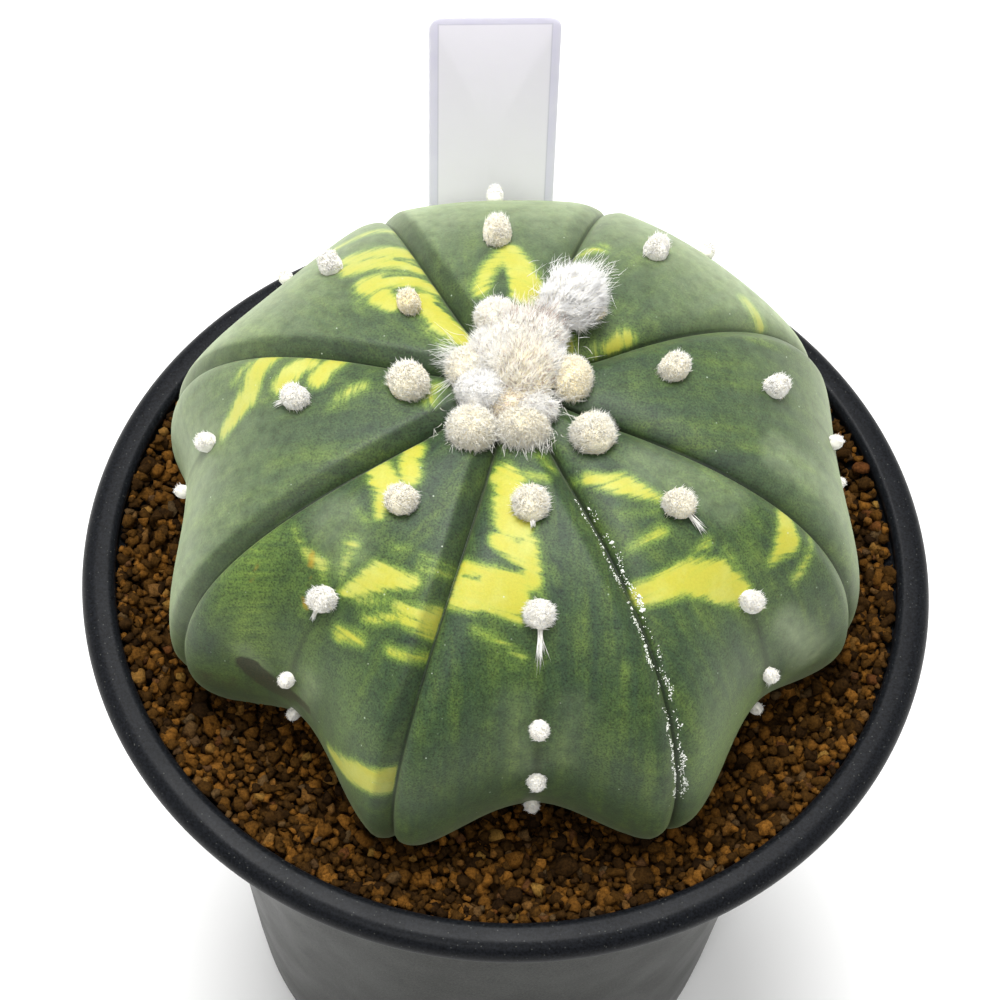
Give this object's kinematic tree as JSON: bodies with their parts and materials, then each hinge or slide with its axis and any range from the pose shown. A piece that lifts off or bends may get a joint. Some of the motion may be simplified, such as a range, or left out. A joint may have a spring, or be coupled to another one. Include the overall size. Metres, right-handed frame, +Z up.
{
  "type": "potted variegated star cactus",
  "caption": "Ribbed globular cactus with woolly areoles and a yellow-patched green skin, set in granular soil in a round deep pot with a blank tag.",
  "frame": {"origin": "centre of the pot's base, on the surface that the pot stands on", "axes": "+Z up along the pot's axis; -Y is the front, with the tag leaning out towards +Y at the back; +X is to the right seen from the front"},
  "size_m": [0.1056, 0.1056, 0.1458],
  "materials": {
    "pot_plastic": "satin moulded black plastic",
    "soil": "dull granular volcanic soil",
    "cactus_skin": "matt waxy skin, green with yellow patches",
    "areole_felt": "short cream wool",
    "crown_wool": "matted pale wool",
    "bud_hair": "long silky white hair",
    "label_plastic": "semi-gloss white plastic"
  },
  "bodies": {
    "root": {"areole_back_1": "areole_felt", "areole_back_2": "areole_felt", "areole_back_3": "areole_felt", "areole_back_left_1": "areole_felt", "areole_back_left_2": "areole_felt", "areole_back_left_3": "areole_felt", "areole_back_left_4": "areole_felt", "areole_back_right_1": "areole_felt", "areole_back_right_2": "areole_felt", "areole_back_right_3": "areole_felt", "areole_front_1": "areole_felt", "areole_front_2": "areole_felt", "areole_front_3": "areole_felt", "areole_front_4": "areole_felt", "areole_front_5": "areole_felt", "areole_front_left_1": "areole_felt", "areole_front_left_2": "areole_felt", "areole_front_left_3": "areole_felt", "areole_front_left_4": "areole_felt", "areole_front_right_1": "areole_felt", "areole_front_right_2": "areole_felt", "areole_front_right_3": "areole_felt", "areole_front_right_4": "areole_felt", "areole_front_right_5": "areole_felt", "areole_left_1": "areole_felt", "areole_left_2": "areole_felt", "areole_left_3": "areole_felt", "areole_left_4": "areole_felt", "areole_right_1": "areole_felt", "areole_right_2": "areole_felt", "areole_right_3": "areole_felt", "areole_right_4": "areole_felt", "cactus_body": "cactus_skin", "crown_areole_1": "areole_felt", "crown_areole_2": "areole_felt", "crown_areole_3": "areole_felt", "crown_areole_4": "areole_felt", "crown_areole_5": "areole_felt", "crown_wool": "crown_wool", "flower_bud": "bud_hair", "plant_label": "label_plastic", "pot": "pot_plastic", "potting_soil": "soil"}
  },
  "joints": []
}
